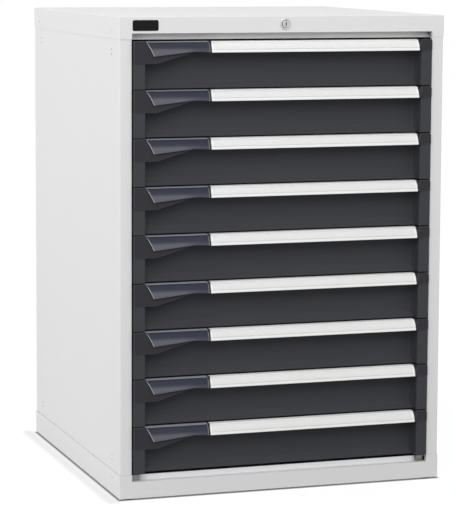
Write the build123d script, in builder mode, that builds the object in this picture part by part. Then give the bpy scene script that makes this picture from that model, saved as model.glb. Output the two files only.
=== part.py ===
"""Steel drawer cabinet with nine full-extension drawers, in millimetres.

The origin is the centre of the footprint, on the floor. +Z is up and the drawers open towards -Y.
Depths are counted back from the front frame plane, and drops down from the top edge of a drawer.
"""
import os

from build123d import *

# Housing
WIDTH = 717.0
DEPTH = 725.0
HEIGHT = 1000.0
FOOT_HEIGHT = 3.0
HANDLE_REACH = 11.0
SHEET = 1.2
CAP_SKIRT = 46.0
BASE_SKIRT = 50.0
TOP_RAIL = 34.0
BOTTOM_RAIL = 35.0
FLOOR_STEP = 2.0
OPENING_HALF = 331.75
STILE_RETURN = 10.0
LEDGE_DEPTH = 20.0
LEDGE_UPSTAND = 10.8
BACK_FOLD = 14.0
EDGE_RADIUS = 1.5
SHEET_PLAY = 0.2

# Drawers
DRAWER_COUNT = 9
PITCH = 100.0
FRONT_HEIGHT = 98.0
FIRST_TOP_BELOW_HOUSING = 50.0
FRONT_HALF = 329.65
POST_PROUD = 5.0
POST_INNER = 306.0
POST_BACK = 10.0
RIM_DEPTH = 15.0
PANEL_DEPTH = 27.0
PANEL_HALF = 299.0
LIP_HEIGHT = 12.0
TRAY_INNER = 612.0
TRAY_WALL = 1.0
TRAY_HEIGHT = 75.0

# Handle section
HANDLE_REAR = 12.0
HANDLE_REAR_DROP = 0.6
RIDGE_DROP = 1.6
RIDGE_FLAT = 0.6
TOP_FLANGE = 2.0
FLANGE_FRONT = 5.0
FLANGE_SETBACK = 2.5
SECTION_BEND = 1.2
LIP_DROP = 24.0
LIP_CHAMFER = 0.6
ARC_RADIUS = 25.5
ARC_DROP = 22.6
HANDLE_WALL = 2.5
LABEL_RECESS = 0.8
LABEL_TOP_DROP = 3.2
LABEL_FOOT_DROP = 18.6
HANDLE_LEFT = -163.8
HANDLE_RIGHT = 298.6
GRIP_RETURN = 6.0

# End caps and latch lever
CAP_PROUD = 6.5
CAP_BACK = 12.0
CAP_CORNER = 4.0
LATCH_FOOT_DROP = 46.3
LATCH_NOSE_DROP = 23.1
LATCH_FLAT_END = -280.0
LATCH_SLOPE_END = -202.0
DIVIDER_WIDTH = 3.0
DIVIDER_INSET = 0.2
RIGHT_CAP_INNER = 304.6
RIGHT_CAP_DROP = 23.4
RIGHT_CAP_TOP_DROP = 0.4
LEVER_TOP_LEFT = -303.0
LEVER_FOOT_LEFT = -287.6
LEVER_FOOT_DROP = 31.4
LEVER_WAIST = -200.3
LEVER_WAIST_DROP = 21.9
LEVER_RIGHT = -167.4
LEVER_RIGHT_DROP = 23.9
LEVER_REAR = 11.6
LEVER_WALL = 3.0
LEVER_GAP = 0.7
LEVER_SWING_ROOM = 0.5
POCKET_MARGIN = 3.0
POCKET_ROOF_DROP = 4.2
PIVOT_DEPTH = 8.6
PIVOT_DROP = 5.2
PIVOT_RADIUS = 1.5
PIVOT_CLEARANCE = 0.08
LEFT_PIN = 5.0
RIGHT_PIN = 2.4
PIN_END_PLAY = 1.0
EAR_RADIUS = 3.2
EAR_WIDTH = 4.0

# Slide members as inner face, outer face and half height, outwards from the centre plane
SLIDE_AXIS = 50.0
SLIDE_SHEET = 1.5
DRAWER_MEMBER = (307.0, 319.0, 18.0)
MIDDLE_MEMBER = (311.5, 321.5, 21.0)
FIXED_MEMBER = (319.5, 333.5, 24.0)
SLIDE_FRONT = 40.0
SLIDE_LENGTH = 650.0
DRAWER_MEMBER_LENGTH = 627.0
INNER_WHEELS = (60.0, 330.0)
OUTER_WHEELS = (370.0, 660.0)
INNER_WHEEL_RADIUS = 16.0
OUTER_WHEEL_RADIUS = 22.0
WHEEL_WIDTH = 7.0
AXLE_RADIUS = 4.0
AXLE_CLEARANCE = 0.08

# Uprights and their foot brackets
UPRIGHT_SHEET = 2.0
UPRIGHT_WIDTH = 20.0
UPRIGHT_DEPTH = 30.0
UPRIGHT_FRONT = 42.0
UPRIGHT_REAR = 640.0
UPRIGHT_SLOT_WIDTH = 6.0
UPRIGHT_SLOT_HEIGHT = 18.0
FOOT_BRACKET_INNER = 312.0
FOOT_BRACKET_OUTER = 333.2
FOOT_BRACKET_FRONT = 12.0
FOOT_BRACKET_HEIGHT = 14.0
FOOT_SLIT = (327.6, 331.6)

# Lock
LOCK_BELOW_TOP = 16.5
BARREL_RADIUS = 7.5
BARREL_PROUD = 4.5
BARREL_LENGTH = 14.0
BARREL_CLEARANCE = 0.08
KEY_SLOT_WIDTH = 2.2
KEY_SLOT_HEIGHT = 7.5
KEY_SLOT_DEPTH = 6.0
BARREL_ROUNDING = 0.6
NOTCH_RADIUS = 1.0
TAIL_RADIUS = 4.0
SLEEVE_RADIUS = 9.4
SLEEVE_LENGTH = 9.0
SLEEVE_PLAY = 0.1
NUT_RADIUS = 13.0
NUT_THICKNESS = 3.0
ROSETTE_RADIUS = 12.0
ROSETTE_PROUD = 2.0
ROSETTE_ROUNDING = 0.8
FINGER_LENGTH = 11.0
FINGER_HALF = 3.0

# Lock rail and lock bars
RAIL_HALF = 343.0
RAIL_DEPTH = 20.0
RAIL_HEM = 3.0
RAIL_SLIT = (329.6, 332.6)
RAIL_SLIT_FOOT = 5.5
RAIL_SLIT_RISE = 2.0
RAIL_BELOW_SKIRT = 1.0
BAR_RESTS = (110.0, 230.0)
BAR_REST_WIDTH = 16.0
BAR_REST_THICKNESS = 2.0
BAR_REST_PLAY = 1.0
BAR_DEPTH = 11.0
BAR_SHEET = 2.0
BAR_HEAD_LEFT = -12.0
BAR_HEAD_RIGHT = 21.0
BAR_HEAD_TOP = 10.0
BAR_HEAD_DROP = 15.0
BAR_NECK_TOP = 3.0
BAR_NECK_DROP = 7.0
WINDOW_WIDTH = 21.0
WINDOW_HEIGHT = 17.4
WINDOW_SHIFT = 4.5
WINDOW_SINK = 3.3
RIVET_RADIUS = 2.5
RIVET_HEAD = 0.6
RIVET_DROP = 2.0
RIVETED_GAP = 0.1
STANDING_BAR_INNER = 345.0
STANDING_BAR_WIDTH = 8.0
GUIDED_DRAWERS = (3, 7)
GUIDE_THICKNESS = 2.0
GUIDE_PLAY = 0.4
TAB_INNER = 331.6
TAB_OUTER = 352.0
TAB_HEIGHT = 10.0
TAB_ABOVE_FOOT = 14.0
CATCH_INNER = 318.0
CATCH_SHEET = 2.5
CATCH_PLAY = 2.0
CATCH_DEPTH = 18.5

# Feet, and fixing holes in the base flanges
FLANGE_WIDTH = 45.0
FIXING_SPACING_X = 672.0
FIXING_SPACING_Y = 500.0
FIXING_RADIUS = 5.5
FOOT_RADIUS = 19.0
FOOT_INSET = 24.0
FOOT_CHAMFER = 0.8

# Worked out from the sizes above
HALF_WIDTH = WIDTH / 2
FRONT_Y = -(DEPTH + HANDLE_REACH) / 2 + HANDLE_REACH
BACK_Y = FRONT_Y + DEPTH
MIDDLE_Y = (FRONT_Y + BACK_Y) / 2
BASE_Z = FOOT_HEIGHT
TOP_Z = BASE_Z + HEIGHT
PANEL_X = HALF_WIDTH - SHEET
BOTTOM_RAIL_Z = BASE_Z + BOTTOM_RAIL
FLOOR_Z = BOTTOM_RAIL_Z - FLOOR_STEP
TOP_RAIL_Z = TOP_Z - TOP_RAIL
SKIRT_Z = TOP_Z - CAP_SKIRT
LOCK_Z = TOP_Z - LOCK_BELOW_TOP
STANDING_BAR_OUTER = STANDING_BAR_INNER + STANDING_BAR_WIDTH
STANDING_BAR_DEPTH = BAR_DEPTH + BAR_SHEET + RIVETED_GAP
RIVET_X = STANDING_BAR_INNER + STANDING_BAR_WIDTH / 2
RIVET_Z = LOCK_Z - RIVET_DROP
UPRIGHT_WEB = FIXED_MEMBER[1] + UPRIGHT_SHEET
DIVIDER_RIGHT = HANDLE_LEFT - DIVIDER_INSET
DIVIDER_LEFT = DIVIDER_RIGHT - DIVIDER_WIDTH
EAR_LEFT = LEVER_TOP_LEFT + LEFT_PIN
EAR_RIGHT = LEVER_RIGHT - EAR_WIDTH
UNDER_DROP = HANDLE_REAR_DROP + TOP_FLANGE
INNER_DROP = UNDER_DROP + SECTION_BEND


def depth(distance):
    """Y of a point this far behind the front frame plane."""
    return FRONT_Y + distance


def drawer_top(number):
    """Top edge of a drawer front; number 1 is the uppermost drawer."""
    return TOP_Z - FIRST_TOP_BELOW_HOUSING - PITCH * (number - 1)


def drawer_foot(number):
    """Bottom edge of a drawer front."""
    return drawer_top(number) - FRONT_HEIGHT


def upright_face(distance):
    """Sketch plane parallel to the front, this far behind it; a negative extrusion goes backwards."""
    return Plane.XZ.offset(-depth(distance))


def block(x_span, y_span, z_span, mode=Mode.ADD):
    """Box between two corners, added to the sub-part that is being built."""
    spans = (x_span, y_span, z_span)
    size = [high - low for low, high in spans]
    middle = tuple((low + high) / 2 for low, high in spans)
    with Locations(middle):
        Box(*size, mode=mode)


def across(half):
    """X range that reaches equally far to the left and to the right."""
    return (-half, half)


def side_span(side, inner, outer):
    """X range from the inner to the outer distance on the left (-1) or right (+1) side."""
    return tuple(sorted((side * inner, side * outer)))


def save(builder, name):
    builder.part.label = name
    export_step(builder.part, f"parts/{name}.step")


def footprint(height, inset):
    """Rectangle of the housing's footprint, drawn in by an inset, on a level plane."""
    with BuildSketch(Plane.XY.offset(height)) as outline:
        with Locations((0, MIDDLE_Y)):
            Rectangle(WIDTH - 2 * inset, DEPTH - 2 * inset)
    return outline.sketch


def make_top_pan():
    """Cap sheet with a skirt all round, cut away over the drawers and folded back along the rail."""
    opening = across(OPENING_HALF)
    with BuildPart() as top_pan:
        extrude(footprint(SKIRT_Z, 0), amount=CAP_SKIRT)
        fillet(top_pan.edges().filter_by(Axis.Z), radius=EDGE_RADIUS)
        fillet(top_pan.faces().sort_by(Axis.Z)[-1].edges(), radius=EDGE_RADIUS)
        extrude(footprint(SKIRT_Z, SHEET), amount=CAP_SKIRT - SHEET, mode=Mode.SUBTRACT)
        block(opening, (depth(-SHEET), depth(SHEET)), (SKIRT_Z, TOP_RAIL_Z), Mode.SUBTRACT)
        block(opening, (depth(0), depth(STILE_RETURN)), (TOP_RAIL_Z, TOP_RAIL_Z + SHEET))
        with BuildSketch(upright_face(0)):
            with Locations((0, LOCK_Z)):
                Circle(SLEEVE_RADIUS + SLEEVE_PLAY)
        extrude(amount=-SHEET, mode=Mode.SUBTRACT)
    save(top_pan, "top_pan")


def make_base_pan():
    """Base sheet with the cabinet's floor, a ledge and upstand at the front, and flanges with holes."""
    opening = across(OPENING_HALF)
    with BuildPart() as base_pan:
        extrude(footprint(BASE_Z, 0), amount=BASE_SKIRT)
        fillet(base_pan.edges().filter_by(Axis.Z), radius=EDGE_RADIUS)
        hollow = FLOOR_Z - 2 * SHEET - BASE_Z
        extrude(footprint(BASE_Z + SHEET, SHEET), amount=hollow, mode=Mode.SUBTRACT)
        extrude(footprint(FLOOR_Z, SHEET), amount=BASE_SKIRT, mode=Mode.SUBTRACT)
        extrude(footprint(BASE_Z, FLANGE_WIDTH), amount=SHEET, mode=Mode.SUBTRACT)
        skirt_top = (BOTTOM_RAIL_Z, BASE_Z + BASE_SKIRT)
        block(opening, (depth(-SHEET), depth(SHEET)), skirt_top, Mode.SUBTRACT)
        ledge_foot = BOTTOM_RAIL_Z - SHEET
        block(opening, (depth(0), depth(LEDGE_DEPTH)), (ledge_foot, BOTTOM_RAIL_Z))
        upstand = across(FOOT_BRACKET_INNER - SHEET_PLAY)
        ledge_back = (depth(LEDGE_DEPTH - SHEET), depth(LEDGE_DEPTH))
        block(upstand, ledge_back, (ledge_foot, BOTTOM_RAIL_Z + LEDGE_UPSTAND))
        with BuildSketch(Plane.XY.offset(BASE_Z)):
            with Locations((0, MIDDLE_Y)):
                with GridLocations(FIXING_SPACING_X, FIXING_SPACING_Y, 2, 2):
                    Circle(FIXING_RADIUS)
        extrude(amount=SHEET, mode=Mode.SUBTRACT)
    save(base_pan, "base_pan")


def make_side_panel(side, name):
    """Side sheet folded round the front into the stile, and round the back into the rear flange."""
    panel_foot = FLOOR_Z + SHEET_PLAY
    panel_top = TOP_Z - SHEET - SHEET_PLAY
    with BuildPart() as side_panel:
        with BuildSketch(Plane.XY.offset(panel_foot)):
            with BuildLine():
                Polyline(
                    (side * OPENING_HALF, depth(STILE_RETURN)),
                    (side * OPENING_HALF, depth(SHEET)),
                    (side * PANEL_X, depth(SHEET)),
                    (side * PANEL_X, BACK_Y - SHEET),
                    (side * OPENING_HALF, BACK_Y - SHEET),
                    (side * OPENING_HALF, BACK_Y - 2 * SHEET),
                    (side * (PANEL_X - SHEET), BACK_Y - 2 * SHEET),
                    (side * (PANEL_X - SHEET), depth(2 * SHEET)),
                    (side * (OPENING_HALF + SHEET), depth(2 * SHEET)),
                    (side * (OPENING_HALF + SHEET), depth(STILE_RETURN)),
                    close=True,
                )
            make_face()
        extrude(amount=panel_top - panel_foot)
    save(side_panel, name)


def make_back_panel():
    """Back sheet in front of the side panels' rear flanges, folded forwards at both edges."""
    half = PANEL_X - 2 * SHEET
    height = (FLOOR_Z + 2 * SHEET_PLAY, TOP_Z - SHEET - 2 * SHEET_PLAY)
    front = BACK_Y - 3 * SHEET
    back = BACK_Y - 2 * SHEET
    with BuildPart() as back_panel:
        block(across(half), (front, back), height)
        for side in (-1, 1):
            block(side_span(side, half - SHEET, half), (front - BACK_FOLD, back), height)
    save(back_panel, "back_panel")


def upright_channel(side, front):
    """Vertical channel, open outwards, with a slot between each two runners."""
    web = side_span(side, FIXED_MEMBER[1], UPRIGHT_WEB)
    whole = side_span(side, FIXED_MEMBER[1], FIXED_MEMBER[1] + UPRIGHT_WIDTH)
    hollow = side_span(side, UPRIGHT_WEB, FIXED_MEMBER[1] + UPRIGHT_WIDTH)
    inside = (depth(front + UPRIGHT_SHEET), depth(front + UPRIGHT_DEPTH - UPRIGHT_SHEET))
    height = (FLOOR_Z, TOP_Z - SHEET)
    block(whole, (depth(front), depth(front + UPRIGHT_DEPTH)), height)
    block(hollow, inside, height, Mode.SUBTRACT)
    middle = depth(front + UPRIGHT_DEPTH / 2)
    slot_y = (middle - UPRIGHT_SLOT_WIDTH / 2, middle + UPRIGHT_SLOT_WIDTH / 2)
    for number in range(2, DRAWER_COUNT + 1):
        slot_z = drawer_foot(number) + SLIDE_AXIS + PITCH / 2
        slot_height = (slot_z - UPRIGHT_SLOT_HEIGHT / 2, slot_z + UPRIGHT_SLOT_HEIGHT / 2)
        block(web, slot_y, slot_height, Mode.SUBTRACT)


def foot_bracket(side):
    """Angle bracket in front of the upright, which shows in the gap under the last drawer."""
    top = FLOOR_Z + FOOT_BRACKET_HEIGHT
    wide = side_span(side, FOOT_BRACKET_INNER, FOOT_BRACKET_OUTER)
    bridge = side_span(side, FOOT_BRACKET_INNER, UPRIGHT_WEB)
    inner = side_span(side, FOOT_BRACKET_INNER, FOOT_BRACKET_INNER + UPRIGHT_SHEET)
    front = depth(FOOT_BRACKET_FRONT)
    back = depth(UPRIGHT_FRONT)
    block(wide, (front, front + UPRIGHT_SHEET), (BOTTOM_RAIL_Z, top))
    block(wide, (front, back), (top - UPRIGHT_SHEET, top))
    block(bridge, (back, back + UPRIGHT_SHEET), (FLOOR_Z, top))
    block(inner, (front, back), (BOTTOM_RAIL_Z, top))


def bar_slit_and_guides():
    """Slit in the right bracket and two plates that the standing lock bar slides along."""
    front = depth(FOOT_BRACKET_FRONT)
    slit_z = (BOTTOM_RAIL_Z, FLOOR_Z + FOOT_BRACKET_HEIGHT)
    block(FOOT_SLIT, (front, front + UPRIGHT_SHEET), slit_z, Mode.SUBTRACT)
    guide = (UPRIGHT_WEB, STANDING_BAR_OUTER)
    behind_bar = depth(STANDING_BAR_DEPTH + BAR_SHEET + GUIDE_PLAY)
    for number in GUIDED_DRAWERS:
        guide_z = drawer_foot(number)
        block(guide, (behind_bar, depth(UPRIGHT_FRONT)), (guide_z, guide_z + GUIDE_THICKNESS))


def make_uprights(side, name):
    """Front and rear upright of one side, with the bracket that stands on the floor sheet."""
    with BuildPart() as uprights:
        upright_channel(side, UPRIGHT_FRONT)
        upright_channel(side, UPRIGHT_REAR)
        foot_bracket(side)
        if side > 0:
            bar_slit_and_guides()
    save(uprights, name)


def slide_channel(side, member, front, length, axis_z, web_outside):
    """One C-shaped slide member, with its web on the outer or the inner side."""
    inner, outer, half = member
    span_y = (depth(front), depth(front + length))
    web = (outer - SLIDE_SHEET, outer) if web_outside else (inner, inner + SLIDE_SHEET)
    block(side_span(side, *web), span_y, (axis_z - half, axis_z + half))
    for edge in (-1, 1):
        flange = tuple(sorted((axis_z + edge * half, axis_z + edge * (half - SLIDE_SHEET))))
        block(side_span(side, inner, outer), span_y, flange)


def make_runner_channels(side, name):
    """The nine fixed runner channels of one side."""
    with BuildPart() as runner_channels:
        for number in range(1, DRAWER_COUNT + 1):
            axis_z = drawer_foot(number) + SLIDE_AXIS
            slide_channel(side, FIXED_MEMBER, SLIDE_FRONT, SLIDE_LENGTH, axis_z, web_outside=True)
    save(runner_channels, name)


def wheel_discs(start, centre, axis_z, radius):
    """Outer and bore circles of a bearing wheel, and its axle, on the plane where it starts."""
    discs = []
    for disc_radius in (radius, AXLE_RADIUS + AXLE_CLEARANCE, AXLE_RADIUS):
        with BuildSketch(Plane.YZ.offset(start)) as disc:
            with Locations((depth(centre), axis_z)):
                Circle(disc_radius)
        discs.append(disc.sketch)
    return discs


def bearing_wheel(side, inner, centre, axis_z, radius):
    """Bearing wheel that turns on an axle riveted to the web of the middle member."""
    start = min(side * inner, side * (inner + WHEEL_WIDTH)) + AXLE_CLEARANCE
    width = WHEEL_WIDTH - 2 * AXLE_CLEARANCE
    rim, bore, axle = wheel_discs(start, centre, axis_z, radius)
    extrude(rim, amount=width)
    extrude(bore, amount=width, mode=Mode.SUBTRACT)
    extrude(axle, amount=width + AXLE_CLEARANCE)
    extrude(axle, amount=-AXLE_CLEARANCE)


def make_middle_slides(number):
    """Middle slide members of one drawer, each with two inner and two outer bearing wheels."""
    axis_z = drawer_foot(number) + SLIDE_AXIS
    web_outer = MIDDLE_MEMBER[1]
    web_inner = web_outer - SLIDE_SHEET
    with BuildPart() as middle_slides:
        for side in (-1, 1):
            slide_channel(side, MIDDLE_MEMBER, SLIDE_FRONT, SLIDE_LENGTH, axis_z, web_outside=True)
            for centre in INNER_WHEELS:
                bearing_wheel(side, web_inner - WHEEL_WIDTH, centre, axis_z, INNER_WHEEL_RADIUS)
            for centre in OUTER_WHEELS:
                bearing_wheel(side, web_outer, centre, axis_z, OUTER_WHEEL_RADIUS)
    save(middle_slides, f"drawer_{number}_middle_slides")


def dish_section(distance, half, foot, top):
    """Rectangle of the dished front's form at one depth."""
    with BuildSketch(upright_face(distance)) as section:
        with Locations((0, (foot + top) / 2)):
            Rectangle(2 * half, top - foot)
    return section.sketch


def dished_front(top, foot):
    """Front sheet, sunk from its rim to the flat panel on three sides and open at the top."""
    rim = dish_section(RIM_DEPTH, POST_INNER, foot, top)
    panel = dish_section(PANEL_DEPTH + SHEET, PANEL_HALF + SHEET, foot + LIP_HEIGHT, top)
    loft([rim, panel])
    above = top + PITCH
    hollow_rim = dish_section(RIM_DEPTH, POST_INNER - SHEET, foot + SHEET, above)
    hollow_panel = dish_section(PANEL_DEPTH, PANEL_HALF, foot + LIP_HEIGHT + SHEET, above)
    loft([hollow_rim, hollow_panel], mode=Mode.SUBTRACT)


def top_flange(top):
    """Flange at the top of the front, under the handle's and the end caps' upper sides."""
    height = (top - UNDER_DROP - SHEET, top - UNDER_DROP)
    back = depth(PANEL_DEPTH + SHEET)
    under_handle = (HANDLE_LEFT + SHEET_PLAY, HANDLE_RIGHT - SHEET_PLAY)
    block(across(PANEL_HALF), (depth(HANDLE_REAR + FLANGE_SETBACK), back), height)
    block(under_handle, (depth(FLANGE_FRONT), back), height)


def side_post(side, top, foot, cap_drop):
    """Box-like post beside the dish, from the foot up to its end cap."""
    height = (foot, top - cap_drop)
    front = depth(-POST_PROUD)
    inner_wall = side_span(side, POST_INNER - SHEET, POST_INNER)
    outer_wall = side_span(side, FRONT_HALF - SHEET, FRONT_HALF)
    block(side_span(side, POST_INNER - SHEET, FRONT_HALF), (front, front + SHEET), height)
    block(inner_wall, (front, depth(RIM_DEPTH)), height)
    block(outer_wall, (front, depth(POST_BACK)), height)


def tray(foot):
    """Open tray behind the front, with the slide members welded to its sides."""
    half = TRAY_INNER / 2
    front = PANEL_DEPTH + SHEET
    back = front + TRAY_INNER
    floor_z = foot + LIP_HEIGHT + TRAY_WALL
    wall_top = floor_z + TRAY_HEIGHT
    outside = (depth(front - SHEET), depth(back + TRAY_WALL))
    block(across(half + TRAY_WALL), outside, (floor_z - TRAY_WALL, wall_top))
    block(across(half), (depth(front), depth(back)), (floor_z, wall_top), Mode.SUBTRACT)
    axis_z = foot + SLIDE_AXIS
    for side in (-1, 1):
        slide_channel(side, DRAWER_MEMBER, front, DRAWER_MEMBER_LENGTH, axis_z, web_outside=False)


def lock_catch(foot):
    """Bracket behind the right post, open at its outer side, where a tab of the lock bar slides in."""
    catch_x = (CATCH_INNER, FRONT_HALF)
    room_z = (foot + TAB_ABOVE_FOOT - CATCH_PLAY, foot + TAB_ABOVE_FOOT + TAB_HEIGHT + CATCH_PLAY)
    arm_y = (depth(SHEET - POST_PROUD), depth(CATCH_DEPTH + CATCH_SHEET))
    block(catch_x, arm_y, (room_z[0] - CATCH_SHEET, room_z[0]))
    block(catch_x, arm_y, (room_z[1], room_z[1] + CATCH_SHEET))
    block(catch_x, (depth(CATCH_DEPTH), depth(CATCH_DEPTH + CATCH_SHEET)), room_z)


def make_drawer_body(number):
    """Dished front with its side posts, the tray behind it and the slide members on the tray."""
    top = drawer_top(number)
    foot = drawer_foot(number)
    with BuildPart() as body:
        dished_front(top, foot)
        top_flange(top)
        side_post(-1, top, foot, LATCH_FOOT_DROP)
        side_post(1, top, foot, RIGHT_CAP_DROP)
        tray(foot)
        lock_catch(foot)
    save(body, f"drawer_{number}_body")


def arc_point(radius, drop, top):
    """Point at a drop below the top, on a circle about the centre of the handle's round front."""
    height = ARC_DROP - drop
    reach = (radius**2 - height**2) ** 0.5
    return (depth(ARC_RADIUS - HANDLE_REACH - reach), top - drop)


def front_arc(radius, upper_drop, lower_drop, top):
    """Arc of the handle's round front between two drops."""
    start = arc_point(radius, upper_drop, top)
    middle = arc_point(radius, (upper_drop + lower_drop) / 2, top)
    return ThreePointArc(start, middle, arc_point(radius, lower_drop, top))


def section_top(rear, top):
    """Upper side of the handle's section, from the rear over the ridge to the start of the arc."""
    ridge = (depth(0), top - RIDGE_DROP)
    Line((depth(rear), top - HANDLE_REAR_DROP), ridge)
    Line(ridge, arc_point(ARC_RADIUS, RIDGE_DROP + RIDGE_FLAT, top))


def section_underside(rear, inner, top):
    """Underside of the section's top flange, from the inner arc back to the rear."""
    Polyline(
        arc_point(inner, INNER_DROP, top),
        (depth(FLANGE_FRONT), top - UNDER_DROP),
        (depth(rear), top - UNDER_DROP),
        (depth(rear), top - HANDLE_REAR_DROP),
    )


def make_handle(number):
    """Handle bar with a shallow recess for the label and a return along its lower lip."""
    top = drawer_top(number)
    inner = ARC_RADIUS - HANDLE_WALL
    recess = ARC_RADIUS - LABEL_RECESS
    nose = depth(-HANDLE_REACH)
    grip_back = nose + GRIP_RETURN
    grip_top = top - ARC_DROP + LIP_CHAMFER
    wall_drop = ARC_DROP - SECTION_BEND
    with BuildPart() as handle:
        with BuildSketch(Plane.YZ.offset(HANDLE_LEFT)):
            with BuildLine():
                section_top(HANDLE_REAR, top)
                front_arc(ARC_RADIUS, RIDGE_DROP + RIDGE_FLAT, LABEL_TOP_DROP, top)
                Line(arc_point(ARC_RADIUS, LABEL_TOP_DROP, top), arc_point(recess, LABEL_TOP_DROP, top))
                front_arc(recess, LABEL_TOP_DROP, LABEL_FOOT_DROP, top)
                Line(arc_point(recess, LABEL_FOOT_DROP, top), arc_point(ARC_RADIUS, LABEL_FOOT_DROP, top))
                front_arc(ARC_RADIUS, LABEL_FOOT_DROP, ARC_DROP, top)
                Polyline(
                    arc_point(ARC_RADIUS, ARC_DROP, top),
                    (nose, top - LIP_DROP + LIP_CHAMFER),
                    (nose + LIP_CHAMFER, top - LIP_DROP),
                    (grip_back, top - LIP_DROP),
                    (grip_back, grip_top),
                    (nose + HANDLE_WALL, grip_top),
                    arc_point(inner, wall_drop, top),
                )
                front_arc(inner, wall_drop, INNER_DROP, top)
                section_underside(HANDLE_REAR, inner, top)
            make_face()
        extrude(amount=HANDLE_RIGHT - HANDLE_LEFT)
    save(handle, f"drawer_{number}_handle")


def lever_outline(top, grow=0.0, left_room=0.0):
    """Front outline of the latch lever, on a plane before the whole front."""
    left_growth = grow + left_room
    with BuildSketch(upright_face(-2 * HANDLE_REACH)) as outline:
        with BuildLine():
            Polyline(
                (LEVER_TOP_LEFT - left_growth, top + grow),
                (LEVER_FOOT_LEFT - left_growth, top - LEVER_FOOT_DROP - grow),
                (LEVER_WAIST, top - LEVER_WAIST_DROP - grow),
                (LEVER_RIGHT + grow, top - LEVER_RIGHT_DROP - grow),
                (LEVER_RIGHT + grow, top + grow),
                close=True,
            )
        make_face()
    return outline.sketch


def trunnion(x_start, length, radius, top, mode=Mode.ADD):
    """Pin, ear or hole about the lever's pivot line."""
    with BuildSketch(Plane.YZ.offset(x_start)) as disc:
        with Locations((depth(PIVOT_DEPTH), top - PIVOT_DROP)):
            Circle(radius)
    extrude(disc.sketch, amount=length, mode=mode)


def make_latch_lever(number):
    """Curved lever plate that continues the handle's section, with an ear and a pin at each end."""
    top = drawer_top(number)
    inner = ARC_RADIUS - LEVER_WALL
    nose = depth(-HANDLE_REACH)
    with BuildPart() as lever:
        with BuildSketch(Plane.YZ.offset(LEVER_TOP_LEFT)):
            with BuildLine():
                section_top(LEVER_REAR, top)
                front_arc(ARC_RADIUS, RIDGE_DROP + RIDGE_FLAT, ARC_DROP, top)
                Polyline(
                    arc_point(ARC_RADIUS, ARC_DROP, top),
                    (nose, top - LEVER_FOOT_DROP),
                    (nose + LEVER_WALL, top - LEVER_FOOT_DROP),
                    arc_point(inner, ARC_DROP, top),
                )
                front_arc(inner, ARC_DROP, INNER_DROP, top)
                section_underside(LEVER_REAR, inner, top)
            make_face()
        extrude(amount=LEVER_RIGHT - LEVER_TOP_LEFT)
        extrude(lever_outline(top), amount=-PITCH, mode=Mode.INTERSECT)
        for ear in (EAR_LEFT, EAR_RIGHT):
            trunnion(ear, EAR_WIDTH, EAR_RADIUS, top)
        trunnion(EAR_LEFT - LEFT_PIN, LEFT_PIN, PIVOT_RADIUS, top)
        trunnion(LEVER_RIGHT, RIGHT_PIN, PIVOT_RADIUS, top)
    save(lever, f"drawer_{number}_latch_lever")


def lever_pocket(top):
    """Room that the latch housing leaves for the lever, a little larger than the lever itself."""
    radius = ARC_RADIUS - LEVER_WALL - LEVER_GAP
    lower_drop = LATCH_FOOT_DROP / 2
    before = depth(-HANDLE_REACH - POCKET_MARGIN)
    behind = depth(CAP_BACK + POCKET_MARGIN)
    with BuildPart() as pocket:
        with BuildSketch(Plane.YZ.offset(-FRONT_HALF)):
            with BuildLine():
                Polyline(
                    arc_point(radius, lower_drop, top),
                    (before, top - lower_drop),
                    (before, top + POCKET_MARGIN),
                    (behind, top + POCKET_MARGIN),
                    (behind, top - POCKET_ROOF_DROP),
                    arc_point(radius, POCKET_ROOF_DROP, top),
                )
                front_arc(radius, POCKET_ROOF_DROP, lower_drop, top)
            make_face()
        extrude(amount=DIVIDER_LEFT + FRONT_HALF)
        outline = lever_outline(top, grow=LEVER_GAP, left_room=LEVER_SWING_ROOM)
        extrude(outline, amount=-PITCH, mode=Mode.INTERSECT)
    return pocket.part


def latch_housing_outline(top):
    """Front outline of the latch housing, flat at the left and sloping up to the divider."""
    with BuildSketch(upright_face(-CAP_PROUD)) as outline:
        with BuildLine():
            Polyline(
                (-FRONT_HALF, top),
                (DIVIDER_RIGHT, top),
                (DIVIDER_RIGHT, top - LATCH_NOSE_DROP),
                (LATCH_SLOPE_END, top - LATCH_NOSE_DROP),
                (LATCH_FLAT_END, top - LATCH_FOOT_DROP),
                (-FRONT_HALF, top - LATCH_FOOT_DROP),
                close=True,
            )
        make_face()
    return outline.sketch


def end_section(top, x_start):
    """Section of the plates that close the label's ends, just inside the handle's own."""
    radius = ARC_RADIUS - DIVIDER_INSET
    ridge = (depth(0), top - RIDGE_DROP)
    with BuildSketch(Plane.YZ.offset(x_start)) as section:
        with BuildLine():
            Line((depth(CAP_BACK), top - HANDLE_REAR_DROP), ridge)
            Line(ridge, arc_point(radius, RIDGE_DROP + RIDGE_FLAT, top))
            front_arc(radius, RIDGE_DROP + RIDGE_FLAT, ARC_DROP, top)
            Polyline(
                arc_point(radius, ARC_DROP, top),
                (depth(DIVIDER_INSET - HANDLE_REACH), top - LIP_DROP),
                (depth(CAP_BACK), top - LIP_DROP),
                (depth(CAP_BACK), top - HANDLE_REAR_DROP),
            )
        make_face()
    return section.sketch


def lever_bearings(top):
    """Room for the lever's ears and holes for its pins."""
    hole = PIVOT_RADIUS + PIVOT_CLEARANCE
    for ear in (EAR_LEFT, EAR_RIGHT):
        width = EAR_WIDTH + 2 * LEVER_GAP
        trunnion(ear - LEVER_GAP, width, EAR_RADIUS + LEVER_GAP, top, Mode.SUBTRACT)
    left = LEFT_PIN + PIN_END_PLAY
    trunnion(EAR_LEFT - left, left, hole, top, Mode.SUBTRACT)
    trunnion(LEVER_RIGHT, RIGHT_PIN + DIVIDER_INSET, hole, top, Mode.SUBTRACT)


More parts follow.
